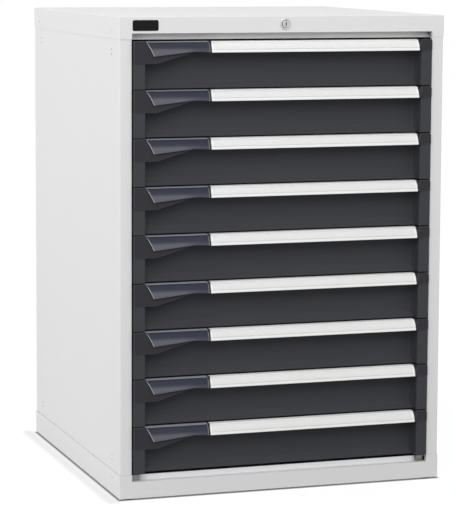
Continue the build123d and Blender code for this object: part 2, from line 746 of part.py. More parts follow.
def make_end_caps(number):
    """Latch housing with the lever's pocket, the plain cap at the right, and a plate at each label end."""
    top = drawer_top(number)
    pocket = lever_pocket(top)
    right_z = (top - RIGHT_CAP_DROP, top - RIGHT_CAP_TOP_DROP)
    plate_left = HANDLE_RIGHT + DIVIDER_INSET
    with BuildPart() as end_caps:
        extrude(latch_housing_outline(top), amount=-(CAP_PROUD + CAP_BACK))
        add(pocket, mode=Mode.SUBTRACT)
        extrude(end_section(top, DIVIDER_LEFT), amount=DIVIDER_WIDTH)
        lever_bearings(top)
        block((RIGHT_CAP_INNER, FRONT_HALF), (depth(-CAP_PROUD), depth(CAP_BACK)), right_z)
        extrude(end_section(top, plate_left), amount=RIGHT_CAP_INNER - plate_left)
        outer_edges = end_caps.edges().filter_by(Axis.Y).sort_by(Axis.X)[-2:]
        fillet(outer_edges.sort_by(Axis.Z)[-1], radius=CAP_CORNER)
    save(end_caps, f"drawer_{number}_end_caps")


def make_lock_rail():
    """Inner strip behind the gap over the first drawer, with rests for the horizontal lock bar."""
    foot = SKIRT_Z - RAIL_BELOW_SKIRT
    back = RAIL_DEPTH + SHEET
    rest_z = LOCK_Z - BAR_NECK_DROP - BAR_REST_PLAY
    half = across(RAIL_HALF)
    with BuildPart() as lock_rail:
        block(half, (depth(RAIL_DEPTH), depth(back)), (foot, TOP_Z - SHEET))
        block(half, (depth(RAIL_DEPTH - RAIL_HEM), depth(RAIL_DEPTH)), (foot, foot + SHEET))
        block(half, (depth(RAIL_DEPTH), depth(2 * RAIL_DEPTH)), (TOP_Z - 2 * SHEET, TOP_Z - SHEET))
        slit_z = (foot + RAIL_SLIT_FOOT, TOP_RAIL_Z + RAIL_SLIT_RISE)
        block(RAIL_SLIT, (depth(RAIL_DEPTH), depth(back)), slit_z, Mode.SUBTRACT)
        for rest_x in BAR_RESTS:
            rest = (rest_x - BAR_REST_WIDTH / 2, rest_x + BAR_REST_WIDTH / 2)
            rest_y = (depth(BAR_DEPTH - BAR_REST_PLAY), depth(RAIL_DEPTH))
            block(rest, rest_y, (rest_z - BAR_REST_THICKNESS, rest_z))
    save(lock_rail, "lock_rail")


def round_face(distance, radius):
    """Disc about the lock's axis, at one depth."""
    with BuildSketch(upright_face(distance)) as disc:
        with Locations((0, LOCK_Z)):
            Circle(radius)
    return disc.sketch


def make_lock_body():
    """Rosette and threaded sleeve through the top rail, with the nut behind the sheet."""
    with BuildPart() as lock_body:
        extrude(round_face(-ROSETTE_PROUD, ROSETTE_RADIUS), amount=-ROSETTE_PROUD)
        fillet(lock_body.edges().sort_by(Axis.Y)[0], radius=ROSETTE_ROUNDING)
        extrude(round_face(0, SLEEVE_RADIUS), amount=-SLEEVE_LENGTH)
        bore = round_face(-ROSETTE_PROUD, BARREL_RADIUS + BARREL_CLEARANCE)
        extrude(bore, amount=-(ROSETTE_PROUD + SLEEVE_LENGTH), mode=Mode.SUBTRACT)
        with BuildSketch(upright_face(SHEET)):
            with Locations((0, LOCK_Z)):
                RegularPolygon(NUT_RADIUS, 6)
                Circle(SLEEVE_RADIUS + SLEEVE_PLAY, mode=Mode.SUBTRACT)
        extrude(amount=-NUT_THICKNESS)
    save(lock_body, "lock_body")


def make_lock_cylinder():
    """Barrel with its key slot in front and, on its tail, the finger that pushes the bar."""
    barrel_end = BARREL_LENGTH - BARREL_PROUD
    finger_end = BAR_DEPTH + BAR_SHEET
    with BuildPart() as cylinder:
        extrude(round_face(-BARREL_PROUD, BARREL_RADIUS), amount=-BARREL_LENGTH)
        fillet(cylinder.edges().sort_by(Axis.Y)[0], radius=BARREL_ROUNDING)
        with BuildSketch(upright_face(-BARREL_PROUD)):
            with Locations((0, LOCK_Z)):
                Rectangle(KEY_SLOT_WIDTH, KEY_SLOT_HEIGHT)
            with Locations((0, LOCK_Z + BARREL_RADIUS)):
                Circle(NOTCH_RADIUS)
        extrude(amount=-KEY_SLOT_DEPTH, mode=Mode.SUBTRACT)
        extrude(round_face(barrel_end, TAIL_RADIUS), amount=barrel_end - finger_end)
        finger_y = (depth(BAR_DEPTH), depth(finger_end))
        block(across(FINGER_HALF), finger_y, (LOCK_Z - FINGER_LENGTH, LOCK_Z))
    save(cylinder, "lock_cylinder")


def bar_outline():
    """Outline of the horizontal lock bar: a head round the finger, and an arm to the right."""
    Polyline(
        (BAR_HEAD_LEFT, LOCK_Z - BAR_HEAD_DROP),
        (BAR_HEAD_RIGHT, LOCK_Z - BAR_HEAD_DROP),
        (BAR_HEAD_RIGHT, LOCK_Z - BAR_NECK_DROP),
        (STANDING_BAR_OUTER, LOCK_Z - BAR_NECK_DROP),
        (STANDING_BAR_OUTER, LOCK_Z + BAR_NECK_TOP),
        (BAR_HEAD_RIGHT, LOCK_Z + BAR_NECK_TOP),
        (BAR_HEAD_RIGHT, LOCK_Z + BAR_HEAD_TOP),
        (BAR_HEAD_LEFT, LOCK_Z + BAR_HEAD_TOP),
        close=True,
    )


def make_lock_bar():
    """Horizontal bar behind the top rail, with a window round the finger and a hole for the rivet."""
    with BuildPart() as lock_bar:
        with BuildSketch(upright_face(BAR_DEPTH)):
            with BuildLine():
                bar_outline()
            make_face()
            with Locations((WINDOW_SHIFT, LOCK_Z - WINDOW_SINK)):
                Rectangle(WINDOW_WIDTH, WINDOW_HEIGHT, mode=Mode.SUBTRACT)
            with Locations((RIVET_X, RIVET_Z)):
                Circle(RIVET_RADIUS + RIVETED_GAP, mode=Mode.SUBTRACT)
        extrude(amount=-BAR_SHEET)
    save(lock_bar, "lock_bar")


def make_standing_lock_bar():
    """Vertical bar behind the right stile, riveted to the horizontal bar, with a tab for each drawer."""
    bar_x = (STANDING_BAR_INNER, STANDING_BAR_OUTER)
    bar_back = STANDING_BAR_DEPTH + BAR_SHEET
    tab_front = bar_back + RIVETED_GAP
    rivet_front = BAR_DEPTH - RIVET_HEAD
    with BuildPart() as standing_bar:
        height = (BASE_Z + BASE_SKIRT, LOCK_Z + BAR_NECK_TOP)
        block(bar_x, (depth(STANDING_BAR_DEPTH), depth(bar_back)), height)
        with BuildSketch(upright_face(rivet_front)):
            with Locations((RIVET_X, RIVET_Z)):
                Circle(RIVET_RADIUS)
        extrude(amount=rivet_front - STANDING_BAR_DEPTH)
        for number in range(1, DRAWER_COUNT + 1):
            tab_z = drawer_foot(number) + TAB_ABOVE_FOOT
            tab_y = (depth(tab_front), depth(tab_front + BAR_SHEET))
            block((TAB_INNER, TAB_OUTER), tab_y, (tab_z, tab_z + TAB_HEIGHT))
    save(standing_bar, "standing_lock_bar")


def make_glide_feet():
    """Four flat discs under the corners of the base."""
    with BuildPart() as feet:
        with BuildSketch(Plane.XY):
            with Locations((0, MIDDLE_Y)):
                with GridLocations(WIDTH - 2 * FOOT_INSET, DEPTH - 2 * FOOT_INSET, 2, 2):
                    Circle(FOOT_RADIUS)
        extrude(amount=FOOT_HEIGHT)
        chamfer(feet.edges().group_by(Axis.Z)[0], length=FOOT_CHAMFER)
    save(feet, "glide_feet")


os.makedirs("parts", exist_ok=True)
make_top_pan()
make_base_pan()
make_side_panel(-1, "left_side_panel")
make_side_panel(1, "right_side_panel")
make_back_panel()
make_uprights(-1, "left_uprights")
make_uprights(1, "right_uprights")
make_runner_channels(-1, "left_runner_channels")
make_runner_channels(1, "right_runner_channels")
make_lock_rail()
make_lock_body()
make_lock_cylinder()
make_lock_bar()
make_standing_lock_bar()
make_glide_feet()
for drawer in range(1, DRAWER_COUNT + 1):
    make_drawer_body(drawer)
    make_handle(drawer)
    make_end_caps(drawer)
    make_latch_lever(drawer)
    make_middle_slides(drawer)
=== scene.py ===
import math

import bmesh
import bpy
from mathutils import Matrix, Vector


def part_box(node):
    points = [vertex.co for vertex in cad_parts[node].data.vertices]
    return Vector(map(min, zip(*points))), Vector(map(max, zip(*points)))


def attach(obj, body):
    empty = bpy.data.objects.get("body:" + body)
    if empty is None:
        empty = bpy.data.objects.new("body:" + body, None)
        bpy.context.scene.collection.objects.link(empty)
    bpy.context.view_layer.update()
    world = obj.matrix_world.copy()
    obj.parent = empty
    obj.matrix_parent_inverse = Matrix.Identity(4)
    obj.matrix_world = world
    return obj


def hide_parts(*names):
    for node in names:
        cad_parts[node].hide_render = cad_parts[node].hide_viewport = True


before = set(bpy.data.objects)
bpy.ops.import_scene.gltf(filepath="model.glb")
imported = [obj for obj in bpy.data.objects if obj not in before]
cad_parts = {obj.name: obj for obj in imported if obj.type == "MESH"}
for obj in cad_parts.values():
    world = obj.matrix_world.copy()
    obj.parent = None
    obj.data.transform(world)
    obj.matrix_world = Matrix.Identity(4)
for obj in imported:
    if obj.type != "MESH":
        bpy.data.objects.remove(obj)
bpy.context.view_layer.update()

MM = 0.001
DRAWER_COUNT = 9

# Places taken from the frame
TOP_PAN_LOW, TOP_PAN_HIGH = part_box("top_pan")
BASE_PAN_LOW, BASE_PAN_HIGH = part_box("base_pan")
FRONT_Y = TOP_PAN_LOW.y
TOP_Z = TOP_PAN_HIGH.z
DRAWER_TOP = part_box("drawer_1_end_caps")[1].z
DRAWER_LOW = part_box("drawer_1_body")[0]
PITCH = DRAWER_LOW.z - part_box("drawer_2_body")[0].z
HANDLE_LOW, HANDLE_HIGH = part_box("drawer_1_handle")
LOCK_LOW, LOCK_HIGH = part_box("lock_body")

# How close counts as being at a place, and the share of a face's normal from which it looks one
# way, or under which it lies edge on
CLOSE = 0.05 * MM
FACING = 0.9
EDGE_ON = 0.1

# Merging a CAD node's triangles
WELD_GAP = 0.002 * MM
FLAT_ANGLE = math.radians(0.5)

# Rails of the housing, and the least lengths by which its folds are told from short edges
TOP_RAIL = 34.0 * MM
BASE_RAIL = 35.0 * MM
RAIL_FOLD_LENGTH = 300.0 * MM
STILE_FOLD_LENGTH = 500.0 * MM

# Sunk panel of a drawer front, and the least lengths of the folds beside it
PANEL_SINK = 27.0 * MM
PANEL_HALF = 299.0 * MM
PANEL_RISE = 13.2 * MM
POST_FOLD_LENGTH = 30.0 * MM
PANEL_SIDE_LENGTH = 50.0 * MM
PANEL_FOOT_LENGTH = 300.0 * MM

# How far the end caps stand out in front, how far a lever's rim does at least, and the least
# length of the ridge at its top
CAP_STANDOUT = 6.5 * MM
RIM_STANDOUT = 2.0 * MM
RIDGE_LENGTH = 50.0 * MM

# The round front of the handle, which the label and its cover follow
ARC_RADIUS = 25.5 * MM
ARC_DROP = 22.6 * MM
ARC_CENTRE = Vector((0, HANDLE_LOW.y + ARC_RADIUS, DRAWER_TOP - ARC_DROP))
ARC_STEPS = 14
RECESS_DEPTH = 0.8 * MM
PAPER_THICKNESS = 0.25 * MM
COVER_THICKNESS = 0.45 * MM
PAPER_DROPS = (3.7 * MM, 18.3 * MM)
COVER_DROPS = (3.35 * MM, 18.4 * MM)
COVER_BEAD = 1.2 * MM
PAPER_END_PLAY = 4.4 * MM
COVER_END_PLAY = 0.4 * MM
PAPER_ROUNDING = 0.05 * MM
COVER_ROUNDING = 0.12 * MM
STRIP_EDGE_ANGLE = math.radians(60)

# Roundings
FOLD_RADIUS = 1.6 * MM
FOLD_SEGMENTS = 4
DISH_RADIUS = 3.0 * MM
CAP_ROUNDING = 0.9 * MM
LEVER_ROUNDING = 1.3 * MM
EDGE_SEGMENTS = 3
FOLD_ANGLE = math.radians(20)
SMOOTH_ANGLE = math.radians(32)

# The lower rim of a lever, between its ends, which keeps the lever's own finish, without the
# painted highlight
LOWER_RIM_DROP = 8.0 * MM
LOWER_RIM_SPAN = (-286.0 * MM, -168.8 * MM)

# Where the painted light on the lever's lower part begins and ends: as drops below its top, and
# along it, where it weakens towards the right
PAINTED_LIGHT_FADE = (12.0 * MM, 21.5 * MM)
PAINTED_LIGHT_REACH = (-225.0 * MM, -185.0 * MM)
PAINTED_LIGHT_FAR_SHARE = 0.4

# Bare plate at the left of the top rail
PLATE_WIDTH = 55.0 * MM
PLATE_HEIGHT = 22.0 * MM
PLATE_THICKNESS = 1.2 * MM
PLATE_LEFT = -330.5 * MM
PLATE_FOOT = TOP_Z - 28.8 * MM
PLATE_CORNER = 3.6 * MM
CORNER_SEGMENTS = 8
PLATE_RIM = 0.9 * MM
PLATE_SINK = 0.3 * MM
PLATE_ROUNDING = 0.35 * MM

# Pairs of punched holes near the corners of the side panels, and slots in the pans beside them.
# SHEET is the panels' sheet, in which a hole's wall lies.
SHEET = 1.2 * MM
PUNCH_RADIUS = 1.9 * MM
PUNCH_SIDES = 16
PUNCH_SPACING = 10.6 * MM
PUNCH_FROM_EDGE = 63.0 * MM
PUNCH_FROM_SEAM = 27.0 * MM
PUNCH_LENGTH = 12.0 * MM
SLOT_LENGTH = 20.0 * MM
SLOT_HEIGHT = 2.6 * MM
SLOT_FROM_EDGE = 56.0 * MM
SLOT_FROM_SEAM = 15.0 * MM

# Lock
LOCK_Z = (LOCK_LOW.z + LOCK_HIGH.z) / 2
BORE_RADIUS = 7.58 * MM
BORE_CHAMFER = 0.7 * MM
KEYWAY_HALF = (1.2 * MM, 3.85 * MM)
KEYWAY_START = 0.1 * MM
KEYWAY_DEPTH = 6.2 * MM
NOTCH_REACH = 1.15 * MM

# Sizes in millimetres of the patterns that have one size wherever they are used
CLOUD_MM = 260
FLOW_MM = 40
FIBRE_MM = 5
DRAWN_LINE_MM = (500, 2.5, 2.5)

# How far a pattern moves a finish's roughness, or its share of the second colour
PEEL_SHEEN = 0.05
PLATING_SHEEN = 0.12
FLOW_STREAK = (-0.04, 0.08)
FILM_ROUGHNESS = (0.24, 0.28)
FILM_GLOSS = (0.01, 0.16)

# Camera, matched to the photo's perspective
CAMERA_PLACE = (-1.6521, -4.9260, 1.1462)
CAMERA_YAW = math.radians(18.479)
CAMERA_PITCH = math.radians(-6.577)
CAMERA_ROLL = math.radians(0.266)
CAMERA_LENS = 163.88
CAMERA_SENSOR = 36.0
CAMERA_SHIFT = -0.08
CAMERA_REACH = 100.0

# Light, floor and backdrop
AMBIENT = 0.63
KEY_PLACE = (-1.0, -4.0, 3.7)
KEY_POWER = 120.0
KEY_SIZE = 3.5
SIDE_PLACE = (-4.2, 0.4, 1.7)
SIDE_POWER = 66.0
SIDE_SIZE = 3.0
FLOOR_SIZE = 12.0
FLOOR_BOUNCE = "#A8A8A8"
FADE_START = 1.0
FADE_END = 2.2

# The floor's own shade, and its glow, which rises over the first millimetres beside the cabinet:
# its low glow under and beside the cabinet is painted shade
FLOOR_SHADED = 0.10
FLOOR_GLOW = (0.15, 0.92)
GLOW_RISE = 0.006

# Painted soft shadow on the floor at the left: its depth, its reach, and the length over which it
# begins
PAINTED_SHADOW_DEPTH = 0.55
PAINTED_SHADOW_REACH = 0.036
PAINTED_SHADOW_TURN = 0.03


def linear(hex_colour):
    """Linear colour of an sRGB hex value."""
    channels = [int(hex_colour[start:start + 2], 16) / 255 for start in (1, 3, 5)]
    return [c / 12.92 if c <= 0.04045 else ((c + 0.055) / 1.055) ** 2.4 for c in channels] + [1.0]


def per_metre(size_mm):
    """Scale of a pattern whose features are this many millimetres apart."""
    return 1000.0 / size_mm


def add_node(tree, kind, settings=(), links=()):
    """Adds a shader node, gives its sockets and properties their values, and links its inputs."""
    node = tree.nodes.new(kind)
    for name, value in dict(settings).items():
        if isinstance(name, int) or name in node.inputs:
            node.inputs[name].default_value = value
        else:
            setattr(node, name, value)
    for name, output in dict(links).items():
        tree.links.new(output, node.inputs[name])
    return node


def new_finish(name):
    """Empty material, its node tree and the coordinates of the object that wears it."""
    material = bpy.data.materials.new(name)
    material.use_nodes = True
    tree = material.node_tree
    tree.nodes.clear()
    place = add_node(tree, "ShaderNodeTexCoord").outputs["Object"]
    return material, tree, place


def close_finish(material, tree, shader):
    """Puts a shader on the material's surface."""
    add_node(tree, "ShaderNodeOutputMaterial", links={"Surface": shader.outputs[0]})
    return material


def powder_coat(name, lighter, darker, roughness, grain_mm, height_mm, shine=0.5):
    """Epoxy powder coat, sprayed and baked: a satin skin with a fine orange peel, almost even."""
    material, tree, place = new_finish(name)
    cloud = add_node(
        tree, "ShaderNodeTexNoise",
        {"Scale": per_metre(CLOUD_MM), "Detail": 3.0},
        {"Vector": place},
    )
    colour = add_node(
        tree, "ShaderNodeMix",
        {"data_type": "RGBA", 6: linear(lighter), 7: linear(darker)},
        {0: cloud.outputs["Fac"]},
    )
    # The real peel is about 1 mm from crest to crest, so it is drawn coarser to show
    peel = add_node(
        tree, "ShaderNodeTexNoise",
        {"Scale": per_metre(grain_mm), "Detail": 2.0},
        {"Vector": place},
    )
    sheen = add_node(
        tree, "ShaderNodeMapRange",
        {"To Min": roughness - PEEL_SHEEN, "To Max": roughness + PEEL_SHEEN},
        {"Value": peel.outputs["Fac"]},
    )
    relief = add_node(
        tree, "ShaderNodeBump",
        {"Strength": 0.35, "Distance": height_mm * MM},
        {"Height": peel.outputs["Fac"]},
    )
    shader = add_node(
        tree, "ShaderNodeBsdfPrincipled",
        {"IOR": 1.5, "Specular IOR Level": shine},
        {
            "Base Color": colour.outputs[2], "Roughness": sheen.outputs[0],
            "Normal": relief.outputs[0],
        },
    )
    return close_finish(material, tree, shader)


def moulded_plastic(name, colour_hex, worn_hex, roughness, grain_mm, height_mm, shine=0.5):
    """Moulded or extruded plastic with its tool's grain: dull, a breath lighter where worn."""
    material, tree, place = new_finish(name)
    grain = add_node(
        tree, "ShaderNodeTexNoise",
        {"Scale": per_metre(grain_mm), "Detail": 3.0},
        {"Vector": place},
    )
    colour = add_node(
        tree, "ShaderNodeMix",
        {"data_type": "RGBA", 6: linear(colour_hex), 7: linear(worn_hex)},
        {0: grain.outputs["Fac"]},
    )
    relief = add_node(
        tree, "ShaderNodeBump",
        {"Strength": 0.5, "Distance": height_mm * MM},
        {"Height": grain.outputs["Fac"]},
    )
    shader = add_node(
        tree, "ShaderNodeBsdfPrincipled",
        {"IOR": 1.54, "Roughness": roughness, "Specular IOR Level": shine},
        {"Base Color": colour.outputs[2], "Normal": relief.outputs[0]},
    )
    return close_finish(material, tree, shader)


def smoked_polycarbonate(name, colour_hex, painted_light_hex, transmission, roughness, shine=0.5):
    """Smoke-blue polycarbonate, polished: dark, with painted light that makes its lower part
    lighter, most at the left.
    """
    material, tree, place = new_finish(name)
    parts = add_node(tree, "ShaderNodeSeparateXYZ", links={"Vector": place})
    below = add_node(
        tree, "ShaderNodeMath",
        {"operation": "SUBTRACT", 0: DRAWER_TOP},
        {1: parts.outputs["Z"]},
    )
    drop = add_node(
        tree, "ShaderNodeMath",
        {"operation": "FLOORED_MODULO", 1: PITCH},
        {0: below.outputs[0]},
    )
    # Painted light: a lighter colour on the lower part of each lever, weaker towards the right
    painted_light = add_node(
        tree, "ShaderNodeMapRange",
        {"From Min": PAINTED_LIGHT_FADE[0], "From Max": PAINTED_LIGHT_FADE[1], "interpolation_type": "SMOOTHSTEP"},
        {"Value": drop.outputs[0]},
    )
    along = add_node(
        tree, "ShaderNodeMapRange",
        {
            "From Min": PAINTED_LIGHT_REACH[0], "From Max": PAINTED_LIGHT_REACH[1],
            "To Min": 1.0, "To Max": PAINTED_LIGHT_FAR_SHARE,
        },
        {"Value": parts.outputs["X"]},
    )
    share = add_node(
        tree, "ShaderNodeMath",
        {"operation": "MULTIPLY"},
        {0: painted_light.outputs[0], 1: along.outputs[0]},
    )
    flow = add_node(
        tree, "ShaderNodeTexNoise",
        {"Scale": per_metre(FLOW_MM), "Detail": 2.0},
        {"Vector": place},
    )
    streak = add_node(
        tree, "ShaderNodeMapRange",
        {"To Min": FLOW_STREAK[0], "To Max": FLOW_STREAK[1]},
        {"Value": flow.outputs["Fac"]},
    )
    mixed = add_node(
        tree, "ShaderNodeMath",
        {"use_clamp": True},
        {0: share.outputs[0], 1: streak.outputs[0]},
    )
    colour = add_node(
        tree, "ShaderNodeMix",
        {"data_type": "RGBA", 6: linear(colour_hex), 7: linear(painted_light_hex)},
        {0: mixed.outputs[0]},
    )
    shader = add_node(
        tree, "ShaderNodeBsdfPrincipled",
        {
            "IOR": 1.58, "Roughness": roughness, "Specular IOR Level": shine,
            "Transmission Weight": transmission,
        },
        {"Base Color": colour.outputs[2]},
    )
    return close_finish(material, tree, shader)


def clear_film(name, tint_hex):
    """Clear rigid PVC, extruded: see-through, with a thin gloss that grows at a grazing view."""
    material, tree, place = new_finish(name)
    draw = add_node(
        tree, "ShaderNodeMapping",
        {"Scale": [per_metre(size) for size in DRAWN_LINE_MM]},
        {"Vector": place},
    )
    lines = add_node(
        tree, "ShaderNodeTexNoise",
        {"Scale": 1.0, "Detail": 2.0},
        {"Vector": draw.outputs[0]},
    )
    drawn = add_node(
        tree, "ShaderNodeMapRange",
        {"To Min": FILM_ROUGHNESS[0], "To Max": FILM_ROUGHNESS[1]},
        {"Value": lines.outputs["Fac"]},
    )
    clear = add_node(tree, "ShaderNodeBsdfTransparent", {"Color": linear(tint_hex)})
    gloss = add_node(tree, "ShaderNodeBsdfAnisotropic", links={"Roughness": drawn.outputs[0]})
    tilt = add_node(tree, "ShaderNodeLayerWeight", {"Blend": 0.3})
    share = add_node(
        tree, "ShaderNodeMapRange",
        {"To Min": FILM_GLOSS[0], "To Max": FILM_GLOSS[1]},
        {"Value": tilt.outputs["Facing"]},
    )
    shader = add_node(
        tree, "ShaderNodeMixShader",
        links={0: share.outputs[0], 1: clear.outputs[0], 2: gloss.outputs[0]},
    )
    return close_finish(material, tree, shader)


def label_paper(name, light_hex, dark_hex):
    """Uncoated white label paper, cut from sheet: matt, with faint fibre clouds."""
    material, tree, place = new_finish(name)
    fibre = add_node(
        tree, "ShaderNodeTexNoise",
        {"Scale": per_metre(FIBRE_MM), "Detail": 3.0},
        {"Vector": place},
    )
    colour = add_node(
        tree, "ShaderNodeMix",
        {"data_type": "RGBA", 6: linear(light_hex), 7: linear(dark_hex)},
        {0: fibre.outputs["Fac"]},
    )
    shader = add_node(
        tree, "ShaderNodeBsdfPrincipled",
        {"Roughness": 0.9, "IOR": 1.4},
        {"Base Color": colour.outputs[2]},
    )
    return close_finish(material, tree, shader)


def plated_metal(name, light_hex, dark_hex, roughness, cell_mm):
    """Plated steel or brass: the plating's crystals give soft patches of bright and dull shine."""
    material, tree, place = new_finish(name)
    cells = add_node(
        tree, "ShaderNodeTexVoronoi",
        {"Scale": per_metre(cell_mm)},
        {"Vector": place},
    )
    colour = add_node(
        tree, "ShaderNodeMix",
        {"data_type": "RGBA", 6: linear(light_hex), 7: linear(dark_hex)},
        {0: cells.outputs["Distance"]},
    )
    shine = add_node(
        tree, "ShaderNodeMapRange",
        {"To Min": roughness, "To Max": roughness + PLATING_SHEEN},
        {"Value": cells.outputs["Distance"]},
    )
    shader = add_node(
        tree, "ShaderNodeBsdfPrincipled",
        {"Metallic": 1.0},
        {"Base Color": colour.outputs[2], "Roughness": shine.outputs[0]},
    )
    return close_finish(material, tree, shader)


FINISHES = {
    # Satin light grey, almost even: its peel shows only in the gloss
    "housing": powder_coat(
        "light_grey_powder_coat", "#E7E7E8", "#E5E5E6",
        roughness=0.48, grain_mm=5.0, height_mm=0.03,
    ),
    # Painted shade: a darker, dull grey on the walls of the punched holes and on the base pan's
    # upward edge at the seam
    "housing_painted_shade": powder_coat(
        "light_grey_powder_coat_painted_shade", "#A9A9AA", "#A2A2A3",
        roughness=0.7, grain_mm=5.0, height_mm=0.03, shine=0.05,
    ),
    # Dark grey that hardly shines
    "drawer": powder_coat(
        "anthracite_powder_coat", "#46474B", "#424347",
        roughness=0.55, grain_mm=4.0, height_mm=0.04, shine=0.06,
    ),
    # Smooth white with a soft gloss
    "handle": moulded_plastic(
        "white_extruded_pvc", "#FDFDFC", "#FBFBF9",
        roughness=0.35, grain_mm=3.0, height_mm=0.004,
    ),
    # Fine spark-eroded grain, which takes the shine off the dark mouldings
    "cap": moulded_plastic(
        "grained_dark_abs", "#323136", "#36353A",
        roughness=0.55, grain_mm=2.5, height_mm=0.04, shine=0.12,
    ),
    # Painted highlight: the rounded front edges are a lighter grey, and a little glossier
    "cap_painted_highlight": moulded_plastic(
        "grained_dark_abs_painted_highlight", "#3E3D42", "#444348",
        roughness=0.45, grain_mm=2.5, height_mm=0.01, shine=0.25,
    ),
    # Smoky blue, nearly opaque, with painted light on its lower part
    "lever": smoked_polycarbonate(
        "smoked_polycarbonate", "#2F3441", "#69686F",
        transmission=0.06, roughness=0.40, shine=0.10,
    ),
    # Painted highlight: the rounded rims and upward top faces of the same plastic are a light grey
    "lever_painted_highlight": smoked_polycarbonate(
        "smoked_polycarbonate_painted_highlight", "#A6A8AF", "#B0B2B8",
        transmission=0.06, roughness=0.30,
    ),
    # Faint lines of the extruder along the label
    "cover": clear_film("clear_extruded_pvc", "#FEFEFE"),
    # Painted shade: the bead at its lower edge is tinted a little darker
    "cover_bead_painted_shade": clear_film("clear_extruded_pvc_bead_painted_shade", "#F6F6F5"),
    # Matt white
    "paper": label_paper("uncoated_white_paper", "#F0F0EF", "#EFEFED"),
    # Bright grey with small crystals
    "zinc": plated_metal(
        "zinc_plated_steel", "#B7BBC0", "#A0A4A9",
        roughness=0.34, cell_mm=9.0,
    ),
    # Duller grey with larger crystals
    "galvanised": plated_metal(
        "hot_dip_galvanised_steel", "#97988F", "#7B7C75",
        roughness=0.46, cell_mm=14.0,
    ),
    # Bright, almost without pattern
    "nickel": plated_metal(
        "nickel_plated_brass", "#D4D4D3", "#C0C0BF",
        roughness=0.24, cell_mm=2.0,
    ),
    # Painted shade: a dark dull ring round the bore
    "bore_painted_shade": plated_metal(
        "nickel_painted_shade_ring", "#5C5C5B", "#4C4C4B",
        roughness=0.45, cell_mm=2.0,
    ),
    # Painted shade: almost black in the keyway and its notch
    "keyway": moulded_plastic(
        "painted_shade_in_keyway", "#0B0B0B", "#101010",
        roughness=0.6, grain_mm=1.5, height_mm=0.01, shine=0.2,
    ),
    # Black with a silky gloss
    "plate": moulded_plastic(
        "satin_black_abs", "#070708", "#0A0A0B",
        roughness=0.32, grain_mm=6.0, height_mm=0.004, shine=0.15,
    ),
    # Dull black
    "feet": moulded_plastic(
        "black_polyamide", "#1D1D1F", "#232325",
        roughness=0.6, grain_mm=2.5, height_mm=0.04, shine=0.3,
    ),
}


def wear(piece, *finishes):
    """Gives a piece its finishes, in the order of its material slots."""
    while len(piece.data.materials) < len(finishes):
        piece.data.materials.append(None)
    for slot, finish in zip(piece.material_slots, finishes):
        slot.link = "OBJECT"
        slot.material = FINISHES[finish]


def select_only(piece):
    """Selects one piece, and makes it the one that operators work on."""
    bpy.ops.object.select_all(action="DESELECT")
    bpy.context.view_layer.objects.active = piece
    piece.select_set(True)


def edit(piece, mode="EDGE"):
    """Opens one piece for editing, with nothing selected in it."""
    select_only(piece)
    bpy.ops.object.mode_set(mode="EDIT")
    bpy.ops.mesh.select_mode(type=mode)
    bpy.ops.mesh.select_all(action="DESELECT")
    return bmesh.from_edit_mesh(piece.data)


def close_edit():
    """Ends the editing that edit began."""
    bpy.ops.object.mode_set(mode="OBJECT")


def apply_all(piece):
    """Applies a piece's modifiers, in their order."""
    select_only(piece)
    for modifier in list(piece.modifiers):
        bpy.ops.object.modifier_apply(modifier=modifier.name)


def shade(piece):
    """Smooth shading over gentle folds, with the large flat faces kept flat."""
    select_only(piece)
    bpy.ops.object.shade_smooth_by_angle(angle=SMOOTH_ANGLE)
    flat = piece.modifiers.new("flat_faces", "WEIGHTED_NORMAL")
    flat.keep_sharp = True
    apply_all(piece)


def settle(piece):
    """Moves a piece's place and size into its mesh, so that its object sits at the origin."""
    select_only(piece)
    bpy.ops.object.transform_apply(location=True, rotation=True, scale=True)


def add_block(name, low, high):
    """Block between two corners, the start of a piece that is shaped further."""
    low, high = Vector(low), Vector(high)
    bpy.ops.object.select_all(action="DESELECT")
    bpy.ops.mesh.primitive_cube_add(size=1, location=(low + high) / 2)
    block = bpy.context.object
    block.name = name
    block.scale = high - low
    settle(block)
    return block


def merged_copy(node, name):
    """Own copy of a CAD node's mesh, with its triangles merged into whole flat faces."""
    piece = bpy.data.objects.new(name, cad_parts[node].data.copy())
    bpy.context.scene.collection.objects.link(piece)
    edit(piece)
    bpy.ops.mesh.select_all(action="SELECT")
    bpy.ops.mesh.remove_doubles(threshold=WELD_GAP)
    bpy.ops.mesh.customdata_custom_splitnormals_clear()
    bpy.ops.mesh.dissolve_limited(angle_limit=FLAT_ANGLE)
    close_edit()
    return piece


def round_edges(piece, radius, segments, wanted, finish=-1):
    """Rounds the folded edges whose two ends pass a test."""
    mesh = edit(piece)
    for edge in mesh.edges:
        folded = len(edge.link_faces) == 2 and edge.calc_face_angle() > FOLD_ANGLE
        ends = [corner.co for corner in edge.verts]
        edge.select_set(folded and wanted(*ends))
    bmesh.update_edit_mesh(piece.data)
    bpy.ops.mesh.bevel(
        offset=radius, segments=segments, affect="EDGES", clamp_overlap=False, material=finish
    )
    close_edit()


def near(value, target):
    """Whether a measure is at a place, apart from rounding."""
    return abs(value - target) < CLOSE


def finish_piece(piece, body, finishes, node=None):
    """Shades a piece, gives it its finishes, and fixes it to the body that carries it."""
    shade(piece)
    wear(piece, *finishes)
    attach(piece, body)
    if node:
        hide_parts(node)


def finish_on_drawers(first, part, finishes, body="drawer_{}", node=None):
    """Copies a piece modelled on the first drawer to the others, each with a mesh of its own."""
    for number in range(1, DRAWER_COUNT + 1):
        piece = first
        if number > 1:
            piece = bpy.data.objects.new(f"drawer_{number}_{part}", first.data.copy())
            bpy.context.scene.collection.objects.link(piece)
            piece.data.transform(Matrix.Translation((0, 0, -PITCH * (number - 1))))
        finish_piece(piece, body.format(number), finishes, node and node.format(number))


